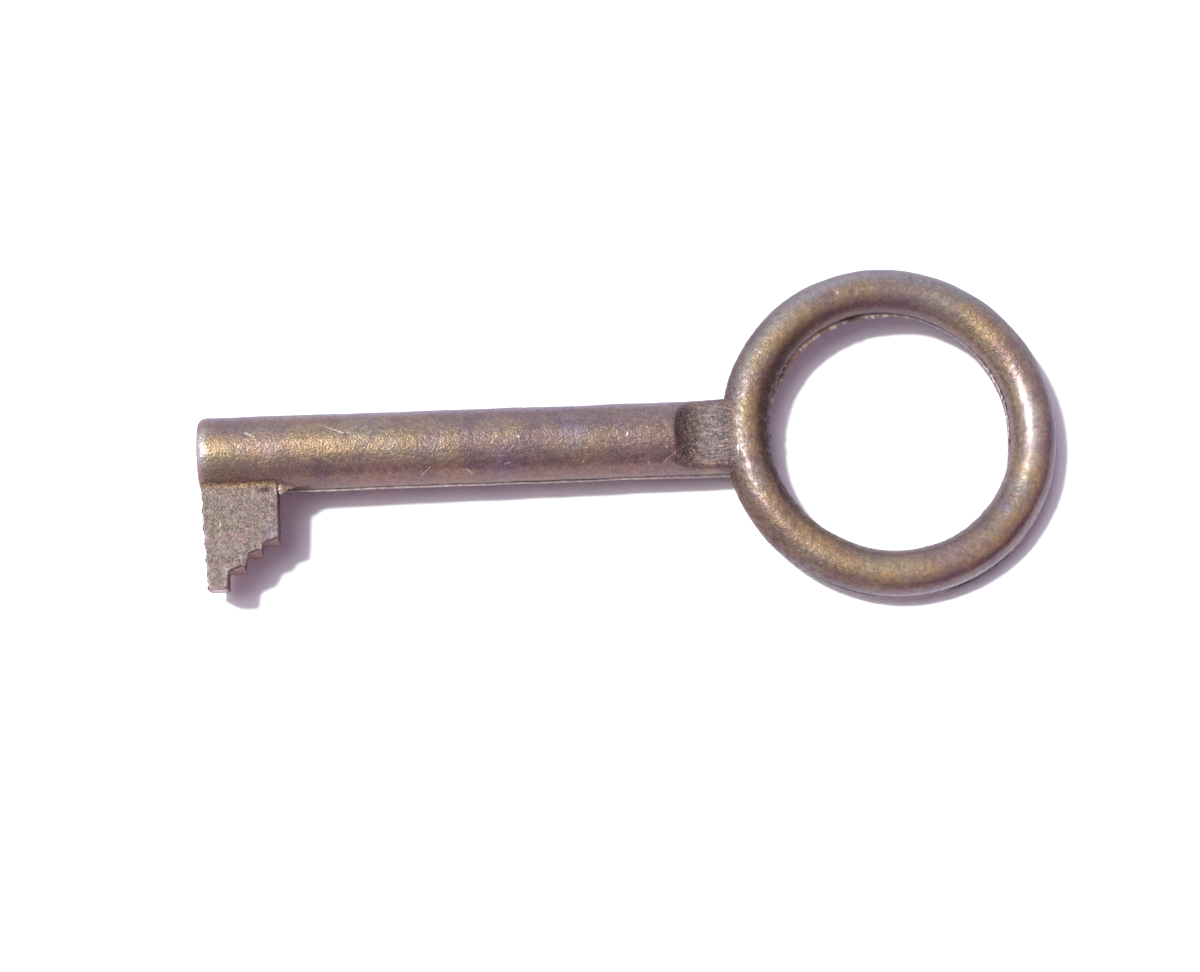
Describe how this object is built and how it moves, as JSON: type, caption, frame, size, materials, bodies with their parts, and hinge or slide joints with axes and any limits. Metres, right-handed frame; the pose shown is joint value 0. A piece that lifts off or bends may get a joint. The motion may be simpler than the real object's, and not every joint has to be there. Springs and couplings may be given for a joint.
{
  "type": "barrel key",
  "caption": "Cabinet key in patinated brass: ring bow, short flattened neck, drilled barrel and a bit with stepped teeth.",
  "frame": {"origin": "centre of the barrel's mouth, on the barrel's axis", "axes": "+X along the barrel towards the bow, -Y the way the bit points, +Z square to the flat of the bow, up when the key lies flat"},
  "size_m": [0.0652, 0.0258, 0.0058],
  "materials": {
    "bow_brass": "handled patina, warm brown with gold where it is rubbed",
    "neck_brass": "granular cast flats with rough grinding marks",
    "barrel_brass": "satin patina, brown with gold mottling",
    "bit_brass": "granular cast faces, file-cut steps"
  },
  "bodies": {
    "root": {"bow": "bow_brass", "neck": "neck_brass", "barrel": "barrel_brass", "bit": "bit_brass"}
  },
  "joints": []
}
